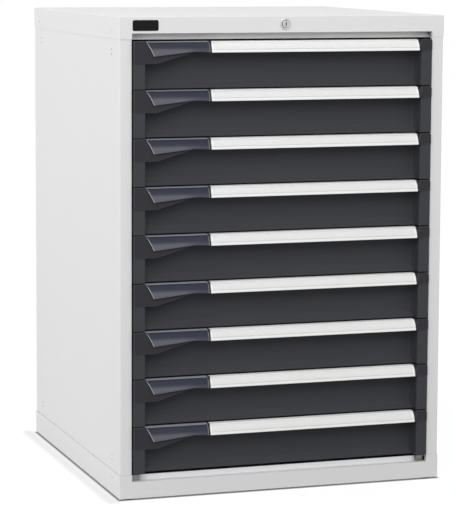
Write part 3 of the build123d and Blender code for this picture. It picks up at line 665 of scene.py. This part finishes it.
def dress_side_panel(side, word):
    """Side panel with round folds and the punched holes near its corners."""
    node = f"{word}_side_panel"
    low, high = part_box(node)
    panel = merged_copy(node, f"{word}_side_sheet")
    outer = high.x if side > 0 else low.x
    stile = low.x if side > 0 else high.x

    def is_outer_fold(a, b):
        upright = abs(a.z - b.z) > STILE_FOLD_LENGTH
        corner = near(a.x, outer) or (near(a.x, stile) and near(a.y, low.y))
        return upright and near(a.x, b.x) and corner

    round_edges(panel, FOLD_RADIUS, FOLD_SEGMENTS, is_outer_fold)
    for y in (FRONT_Y + PUNCH_FROM_EDGE, high.y - PUNCH_FROM_EDGE):
        for z in (TOP_PAN_LOW.z - PUNCH_FROM_SEAM, BASE_PAN_HIGH.z + PUNCH_FROM_SEAM):
            for step in (-0.5, 0.5):
                cut_away(panel, add_punch(outer, y, z + step * PUNCH_SPACING))
    panel.data.materials.append(None)
    # The walls of the punched holes are painted darker, as shade
    for face in panel.data.polygons:
        in_sheet = abs(face.center.x - outer) < SHEET and abs(face.normal.x) < EDGE_ON
        in_hole = face.area < PUNCH_RADIUS * SHEET
        face.material_index = int(in_sheet and in_hole)
    finish_piece(panel, "housing", ["housing", "housing_painted_shade"], node)


def add_punch(x, y, z):
    """Round punch across a side panel."""
    bpy.ops.object.select_all(action="DESELECT")
    bpy.ops.mesh.primitive_cylinder_add(
        vertices=PUNCH_SIDES, radius=PUNCH_RADIUS, depth=PUNCH_LENGTH,
        location=(x, y, z), rotation=(0, math.pi / 2, 0),
    )
    return bpy.context.object


def cut_away(piece, punch):
    """Cuts a punch's shape out of a piece, and takes the punch away."""
    cut = piece.modifiers.new("punch", "BOOLEAN")
    cut.operation = "DIFFERENCE"
    cut.solver = "EXACT"
    cut.object = punch
    apply_all(piece)
    bpy.data.objects.remove(punch)


def cut_slots(pan, z):
    """Cuts the short level slots near the corners of a pan's side skirts."""
    half = Vector((PUNCH_LENGTH, SLOT_LENGTH, SLOT_HEIGHT)) / 2
    for x in (TOP_PAN_LOW.x, TOP_PAN_HIGH.x):
        for y in (TOP_PAN_LOW.y + SLOT_FROM_EDGE, TOP_PAN_HIGH.y - SLOT_FROM_EDGE):
            centre = Vector((x, y, z))
            cut_away(pan, add_block("slot_punch", centre - half, centre + half))


def dress_pan(node, name, rail_z, slot_z):
    """Pan with a round fold along its rail. The base pan's upward edge at the seam is painted
    darker, as shade.
    """
    pan = merged_copy(node, name)

    def is_rail_fold(a, b):
        along = abs(a.x - b.x) > RAIL_FOLD_LENGTH
        return along and near(a.y, FRONT_Y) and near(a.z, rail_z) and near(b.z, rail_z)

    round_edges(pan, FOLD_RADIUS, FOLD_SEGMENTS, is_rail_fold)
    cut_slots(pan, slot_z)
    pan.data.materials.append(None)
    # The upward edge at the seam is painted darker, as shade
    for face in pan.data.polygons:
        on_seam = near(face.center.z, BASE_PAN_HIGH.z) and face.normal.z > FACING
        face.material_index = int(on_seam)
    finish_piece(pan, "housing", ["housing", "housing_painted_shade"], node)


def dress_drawer_bodies():
    """Drawer fronts with round folds at the posts and round the sunk panel."""
    body = merged_copy("drawer_1_body", "drawer_1_shell")
    panel_y = FRONT_Y + PANEL_SINK
    panel_foot = DRAWER_LOW.z + PANEL_RISE

    def is_post_edge(a, b):
        at_front = near(a.y, DRAWER_LOW.y) and near(b.y, DRAWER_LOW.y)
        return at_front and abs(a.z - b.z) > POST_FOLD_LENGTH

    def is_dish_fold(a, b):
        on_panel = near(a.y, panel_y) and near(b.y, panel_y)
        side = near(abs(a.x), PANEL_HALF) and near(abs(b.x), PANEL_HALF)
        foot = near(a.z, panel_foot) and near(b.z, panel_foot)
        at_side = side and abs(a.z - b.z) > PANEL_SIDE_LENGTH
        at_foot = foot and abs(a.x - b.x) > PANEL_FOOT_LENGTH
        return on_panel and (at_side or at_foot)

    round_edges(body, FOLD_RADIUS, FOLD_SEGMENTS, is_post_edge)
    round_edges(body, DISH_RADIUS, FOLD_SEGMENTS, is_dish_fold)
    finish_on_drawers(body, "shell", ["drawer"], node="drawer_{}_body")


def dress_end_caps():
    """Latch housing and right cap with softened edges on all that faces forwards."""
    caps = merged_copy("drawer_1_end_caps", "drawer_1_caps")
    cap_front = FRONT_Y - CAP_STANDOUT

    def faces_forwards(a, b):
        return near(a.y, cap_front) and near(b.y, cap_front)

    # The rounded front edges are painted lighter, as a highlight
    caps.data.materials.append(None)
    round_edges(caps, CAP_ROUNDING, EDGE_SEGMENTS, faces_forwards, finish=1)
    finish_on_drawers(
        caps, "caps", ["cap", "cap_painted_highlight"], node="drawer_{}_end_caps"
    )


def dress_levers():
    """Latch levers with round edges, whose light grey finish is a painted highlight, as on their
    upward top faces.
    """
    lever = merged_copy("drawer_1_latch_lever", "drawer_1_lever")
    rim_back = FRONT_Y - RIM_STANDOUT

    def is_rim(a, b):
        on_ridge = near(a.y, FRONT_Y) and near(b.y, FRONT_Y) and abs(a.x - b.x) > RIDGE_LENGTH
        return on_ridge or (a.y < rim_back and b.y < rim_back)

    # Rounded rims and upward top faces get the painted highlight; the lower rim between the ends
    # keeps the lever's own finish
    lever.data.materials.append(None)
    round_edges(lever, LEVER_ROUNDING, EDGE_SEGMENTS, is_rim, finish=1)
    for face in lever.data.polygons:
        between_ends = LOWER_RIM_SPAN[0] < face.center.x < LOWER_RIM_SPAN[1]
        if between_ends and face.center.z < DRAWER_TOP - LOWER_RIM_DROP:
            face.material_index = 0
        if face.normal.z > FACING:
            face.material_index = 1
    finish_on_drawers(
        lever, "lever", ["lever", "lever_painted_highlight"],
        body="latch_lever_{}", node="drawer_{}_latch_lever",
    )


def arc_angle(radius, drop):
    """Angle of a point on the handle's arc above the level forward direction, from its drop."""
    return math.asin((ARC_DROP - drop) / radius)


def bent_strip(name, radius, thickness, drops, end_play, rounding):
    """Strip spun about the centre of the handle's round front, from its upper edge downwards."""
    upper, lower = (arc_angle(radius, drop) for drop in drops)
    length = HANDLE_HIGH.x - HANDLE_LOW.x - 2 * end_play
    middle_x = (HANDLE_LOW.x + HANDLE_HIGH.x) / 2
    edge_y = ARC_CENTRE.y - radius * math.cos(upper)
    edge_z = ARC_CENTRE.z + radius * math.sin(upper)
    bpy.ops.object.select_all(action="DESELECT")
    bpy.ops.mesh.primitive_plane_add(
        size=length, location=(middle_x, edge_y + length / 2, edge_z)
    )
    strip = bpy.context.object
    strip.name = name
    settle(strip)
    # Only the plane's front edge is kept, and spun down the arc
    mesh = edit(strip, "VERT")
    for corner in mesh.verts:
        corner.select_set(corner.co.y > edge_y + MM)
    bmesh.update_edit_mesh(strip.data)
    bpy.ops.mesh.delete(type="VERT")
    bpy.ops.mesh.select_all(action="SELECT")
    bpy.ops.mesh.spin(steps=ARC_STEPS, angle=lower - upper, center=ARC_CENTRE, axis=(1, 0, 0))
    close_edit()
    face_away_from(strip, ARC_CENTRE)
    wall = strip.modifiers.new("wall", "SOLIDIFY")
    wall.thickness = thickness
    wall.offset = 1.0
    soft = strip.modifiers.new("soft", "BEVEL")
    soft.width = rounding
    soft.segments = 2
    soft.angle_limit = STRIP_EDGE_ANGLE
    apply_all(strip)
    return strip


def face_away_from(piece, centre):
    """Turns an open shell's faces so that they look away from a point."""
    face = piece.data.polygons[0]
    if face.normal.dot(face.center - centre) < 0:
        edit(piece, "FACE")
        bpy.ops.mesh.select_all(action="SELECT")
        bpy.ops.mesh.flip_normals()
        close_edit()


def model_labels():
    """White label strips in the recesses of the handles, under clear covers."""
    paper = bent_strip(
        "drawer_1_label_strip", ARC_RADIUS - RECESS_DEPTH, PAPER_THICKNESS,
        PAPER_DROPS, PAPER_END_PLAY, PAPER_ROUNDING,
    )
    finish_on_drawers(paper, "label_strip", ["paper"])
    cover = bent_strip(
        "drawer_1_label_cover", ARC_RADIUS - COVER_THICKNESS, COVER_THICKNESS,
        COVER_DROPS, COVER_END_PLAY, COVER_ROUNDING,
    )
    # The bead at the lower edge is tinted darker, as painted shade
    bead_top = DRAWER_TOP - COVER_DROPS[1] + COVER_BEAD
    cover.data.materials.append(None)
    for face in cover.data.polygons:
        face.material_index = int(face.center.z < bead_top)
    finish_on_drawers(cover, "label_cover", ["cover", "cover_bead_painted_shade"])


def model_plate():
    """Small bare plate with round corners and a raised rim, stuck on the top rail."""
    low = (PLATE_LEFT, FRONT_Y - PLATE_THICKNESS, PLATE_FOOT)
    high = (PLATE_LEFT + PLATE_WIDTH, FRONT_Y, PLATE_FOOT + PLATE_HEIGHT)
    plate = add_block("blank_plate", low, high)

    def is_corner(a, b):
        return abs(a.y - b.y) > 0.5 * PLATE_THICKNESS

    def is_front(a, b):
        return near(a.y, low[1]) and near(b.y, low[1])

    round_edges(plate, PLATE_CORNER, CORNER_SEGMENTS, is_corner)
    round_edges(plate, PLATE_ROUNDING, EDGE_SEGMENTS, is_front)
    mesh = edit(plate, "FACE")
    widest = max(mesh.faces, key=lambda face: face.calc_area() * (face.normal.y < -FACING))
    widest.select_set(True)
    bmesh.update_edit_mesh(plate.data)
    bpy.ops.mesh.inset(thickness=PLATE_RIM)
    bpy.ops.mesh.inset(thickness=PLATE_SINK, depth=-PLATE_SINK)
    close_edit()
    finish_piece(plate, "housing", ["plate"])


def dress_lock():
    """Rosette with a chamfered bore painted dark as shade, and barrel with its keyway painted
    almost black as shade.
    """
    rosette = merged_copy("lock_body", "lock_rosette")

    def is_bore_edge(a, b):
        return all(
            near(end.y, LOCK_LOW.y) and near(math.hypot(end.x, end.z - LOCK_Z), BORE_RADIUS)
            for end in (a, b)
        )

    # The bore's chamfer is painted dark, as shade
    rosette.data.materials.append(None)
    round_edges(rosette, BORE_CHAMFER, 1, is_bore_edge, finish=1)
    finish_piece(rosette, "housing", ["nickel", "bore_painted_shade"], "lock_body")

    barrel = merged_copy("lock_cylinder", "lock_barrel")
    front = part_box("lock_cylinder")[0].y
    notch = Vector((0, LOCK_Z + BORE_RADIUS))
    # The keyway and the notch at the top of the bore are painted almost black, as shade
    barrel.data.materials.append(None)
    for face in barrel.data.polygons:
        x, y, z = face.center
        sunk = front + KEYWAY_START < y < front + KEYWAY_DEPTH
        in_slot = abs(x) < KEYWAY_HALF[0] and abs(z - LOCK_Z) < KEYWAY_HALF[1]
        in_notch = (Vector((x, z)) - notch).length < NOTCH_REACH
        if sunk and (in_slot or in_notch):
            face.material_index = 1
    finish_piece(barrel, "lock_cylinder", ["nickel", "keyway"], "lock_cylinder")


def finish_carried_nodes():
    """Finishes of the CAD nodes that show as they are."""
    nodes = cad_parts
    for node in ("left_runner_channels", "right_runner_channels", "lock_bar", "standing_lock_bar"):
        wear(nodes[node], "zinc")
    for node in ("left_uprights", "right_uprights"):
        wear(nodes[node], "galvanised")
    for node in ("back_panel", "lock_rail"):
        wear(nodes[node], "housing")
    wear(nodes["glide_feet"], "feet")
    for number in range(1, DRAWER_COUNT + 1):
        wear(nodes[f"drawer_{number}_handle"], "handle")
        wear(nodes[f"drawer_{number}_middle_slides"], "zinc")


def place_camera():
    """Camera at the photo's viewing angle, with its long side upright."""
    data = bpy.data.cameras.new("photo_camera")
    data.lens = CAMERA_LENS
    data.sensor_width = CAMERA_SENSOR
    data.sensor_fit = "AUTO"
    data.shift_y = CAMERA_SHIFT
    data.clip_end = CAMERA_REACH
    camera = bpy.data.objects.new("photo_camera", data)
    bpy.context.scene.collection.objects.link(camera)
    yaw = Matrix.Rotation(-CAMERA_YAW, 4, "Z")
    pitch = Matrix.Rotation(math.pi / 2 + CAMERA_PITCH, 4, "X")
    roll = Matrix.Rotation(CAMERA_ROLL, 4, "Z")
    camera.matrix_world = Matrix.Translation(CAMERA_PLACE) @ (yaw @ pitch) @ roll
    bpy.context.scene.camera = camera


def seen_directly(tree):
    """Share that is 1 for camera, glossy and transmission rays, and 0 for scattered light."""
    rays = add_node(tree, "ShaderNodeLightPath").outputs
    both = add_node(
        tree, "ShaderNodeMath",
        {"operation": "MAXIMUM"},
        {0: rays["Is Camera Ray"], 1: rays["Is Glossy Ray"]},
    )
    seen = add_node(
        tree, "ShaderNodeMath",
        {"operation": "MAXIMUM"},
        {0: both.outputs[0], 1: rays["Is Transmission Ray"]},
    )
    return seen.outputs[0]


def light_studio():
    """White backdrop that also gives the soft light from all round, shown without a film look."""
    bpy.context.scene.view_settings.view_transform = "Standard"
    world = bpy.data.worlds.new("studio")
    world.use_nodes = True
    bpy.context.scene.world = world
    tree = world.node_tree
    tree.nodes.clear()
    soft = add_node(
        tree, "ShaderNodeBackground", {"Color": linear("#FFFFFF"), "Strength": AMBIENT}
    )
    white = add_node(tree, "ShaderNodeBackground", {"Color": linear("#FFFFFF"), "Strength": 1.0})
    both = add_node(
        tree, "ShaderNodeMixShader",
        links={0: seen_directly(tree), 1: soft.outputs[0], 2: white.outputs[0]},
    )
    add_node(tree, "ShaderNodeOutputWorld", links={"Surface": both.outputs[0]})
    add_lamp("key", KEY_PLACE, KEY_POWER, KEY_SIZE)
    add_lamp("side", SIDE_PLACE, SIDE_POWER, SIDE_SIZE)


def add_lamp(name, place, power, size):
    """Square soft lamp that looks at the middle of the cabinet."""
    data = bpy.data.lights.new(name, "AREA")
    data.energy = power
    data.size = size
    lamp = bpy.data.objects.new(name, data)
    bpy.context.scene.collection.objects.link(lamp)
    aim = Vector((0, 0, 0.5 * TOP_Z)) - Vector(place)
    turn = aim.to_track_quat("-Z", "Y").to_matrix().to_4x4()
    lamp.matrix_world = Matrix.Translation(place) @ turn


def gap_from_cabinet(tree, place):
    """Distance of a point of the floor from the cabinet's footprint, nought under it."""
    middle_y = (TOP_PAN_LOW.y + TOP_PAN_HIGH.y) / 2
    half = (TOP_PAN_HIGH.x, (TOP_PAN_HIGH.y - TOP_PAN_LOW.y) / 2, 1.0)
    centred = add_node(
        tree, "ShaderNodeVectorMath",
        {"operation": "SUBTRACT", 1: (0, middle_y, 0)},
        {0: place},
    )
    folded = add_node(
        tree, "ShaderNodeVectorMath",
        {"operation": "ABSOLUTE"},
        {0: centred.outputs[0]},
    )
    beyond = add_node(
        tree, "ShaderNodeVectorMath",
        {"operation": "SUBTRACT", 1: half},
        {0: folded.outputs[0]},
    )
    outside = add_node(
        tree, "ShaderNodeVectorMath",
        {"operation": "MAXIMUM"},
        {0: beyond.outputs[0]},
    )
    gap = add_node(
        tree, "ShaderNodeVectorMath",
        {"operation": "LENGTH"},
        {0: outside.outputs[0]},
    )
    return gap.outputs["Value"]


def painted_left_shadow(tree, place, gap):
    """Share of the painted soft shadow close to the cabinet at its left, and nought elsewhere."""
    close_by = add_node(
        tree, "ShaderNodeMapRange",
        {"From Max": PAINTED_SHADOW_REACH, "To Min": PAINTED_SHADOW_DEPTH, "To Max": 0.0},
        {"Value": gap},
    )
    across = add_node(tree, "ShaderNodeSeparateXYZ", links={"Vector": place})
    left = TOP_PAN_LOW.x
    at_left = add_node(
        tree, "ShaderNodeMapRange",
        {"From Min": left - PAINTED_SHADOW_TURN, "From Max": left, "To Min": 1.0, "To Max": 0.0},
        {"Value": across.outputs["X"]},
    )
    painted_shadow = add_node(
        tree, "ShaderNodeMath",
        {"operation": "MULTIPLY"},
        {0: close_by.outputs[0], 1: at_left.outputs[0]},
    )
    return painted_shadow.outputs[0]


def floor_finish():
    """Seamless white studio floor: it keeps the cabinet's shadow, has painted shade where its glow
    is low under and beside the cabinet and a painted soft shadow at the left, and fades to pure
    white.
    """
    material, tree, place = new_finish("white_studio_floor")
    bounce = add_node(tree, "ShaderNodeBsdfDiffuse", {"Color": linear(FLOOR_BOUNCE)})
    shadow = add_node(tree, "ShaderNodeBsdfDiffuse", {"Color": [FLOOR_SHADED] * 3 + [1.0]})
    gap = gap_from_cabinet(tree, place)
    # Painted shade: the glow is low under the cabinet and rises over the first millimetres beside
    # it
    rise = add_node(
        tree, "ShaderNodeMapRange",
        {"From Max": GLOW_RISE, "To Min": FLOOR_GLOW[0], "To Max": FLOOR_GLOW[1]},
        {"Value": gap},
    )
    glow = add_node(
        tree, "ShaderNodeEmission",
        {"Color": linear("#FFFFFF")},
        {"Strength": rise.outputs[0]},
    )
    lit_floor = add_node(
        tree, "ShaderNodeAddShader", links={0: shadow.outputs[0], 1: glow.outputs[0]}
    )
    # Painted shadow: a black emission mixed in close by at the left
    dark = add_node(tree, "ShaderNodeEmission", {"Strength": 0.0})
    near_floor = add_node(
        tree, "ShaderNodeMixShader",
        links={0: painted_left_shadow(tree, place, gap), 1: lit_floor.outputs[0], 2: dark.outputs[0]},
    )
    away = add_node(tree, "ShaderNodeEmission", {"Color": linear("#FFFFFF"), "Strength": 1.0})
    reach = add_node(tree, "ShaderNodeVectorMath", {"operation": "LENGTH"}, {0: place})
    fade = add_node(
        tree, "ShaderNodeMapRange",
        {"From Min": FADE_START, "From Max": FADE_END, "interpolation_type": "SMOOTHSTEP"},
        {"Value": reach.outputs["Value"]},
    )
    shown = add_node(
        tree, "ShaderNodeMixShader",
        links={0: fade.outputs[0], 1: near_floor.outputs[0], 2: away.outputs[0]},
    )
    whole = add_node(
        tree, "ShaderNodeMixShader",
        links={0: seen_directly(tree), 1: bounce.outputs[0], 2: shown.outputs[0]},
    )
    return close_finish(material, tree, whole)


def lay_floor():
    """Flat studio floor under the cabinet."""
    bpy.ops.object.select_all(action="DESELECT")
    bpy.ops.mesh.primitive_plane_add(size=FLOOR_SIZE, location=(0, 0, 0))
    floor = bpy.context.object
    floor.name = "studio_floor"
    floor.data.materials.append(floor_finish())


place_camera()
dress_side_panel(-1, "left")
dress_side_panel(1, "right")
dress_pan("top_pan", "top_cap", TOP_Z - TOP_RAIL, TOP_PAN_LOW.z + SLOT_FROM_SEAM)
dress_pan(
    "base_pan", "base_tray", BASE_PAN_LOW.z + BASE_RAIL, BASE_PAN_HIGH.z - SLOT_FROM_SEAM
)
dress_drawer_bodies()
dress_end_caps()
dress_levers()
model_labels()
model_plate()
dress_lock()
finish_carried_nodes()
light_studio()
lay_floor()
